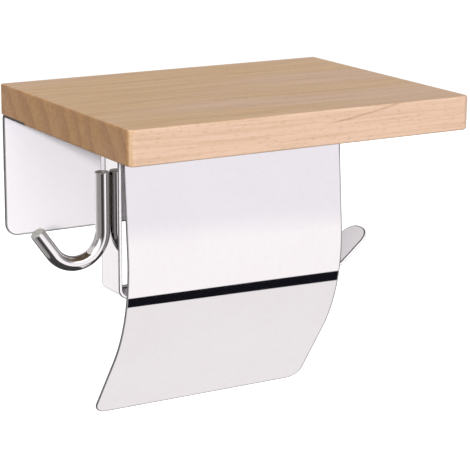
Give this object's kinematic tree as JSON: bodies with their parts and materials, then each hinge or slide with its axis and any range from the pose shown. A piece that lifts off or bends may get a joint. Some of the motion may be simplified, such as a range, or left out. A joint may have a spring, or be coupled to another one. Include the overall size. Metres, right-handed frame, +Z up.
{
  "type": "toilet paper holder",
  "caption": "Wall-mounted wooden shelf with a bent-strip toilet roll hanger, a free-swinging curved lid and a round side hook.",
  "frame": {"origin": "middle of the wall plate's back face, on the wall, midway between the two wall screw holes", "axes": "+Y into the wall, +Z up, +X to the right seen from the room"},
  "size_m": [0.2138, 0.15, 0.1809],
  "materials": {
    "wood": "clear matt lacquer on pale rubberwood",
    "polished_steel": "mirror-polished stainless steel",
    "screw_steel": "zinc-plated",
    "bush_plastic": "natural nylon"
  },
  "bodies": {
    "holder": {"shelf_board": "wood", "wall_plate": "polished_steel", "wall_plate_screws": "screw_steel", "roll_hanger": "polished_steel", "roll_hanger_screws": "screw_steel", "side_hook": "polished_steel", "side_hook_weld": "polished_steel", "hinge_bracket_left": "polished_steel", "hinge_bracket_right": "polished_steel", "hinge_bracket_screws": "screw_steel", "hinge_pin": "polished_steel", "hinge_pin_cap": "polished_steel"},
    "lid": {"lid": "polished_steel", "lid_lug_left": "polished_steel", "lid_lug_right": "polished_steel", "lid_bush_left": "bush_plastic", "lid_bush_right": "bush_plastic"}
  },
  "joints": [
    {"name": "lid_swing", "type": "hinge", "parent": "holder", "child": "lid", "pos_m": [0, -0.071, 0.0205], "axis": [-1, 0, 0], "range_deg": [-2, 85]}
  ]
}
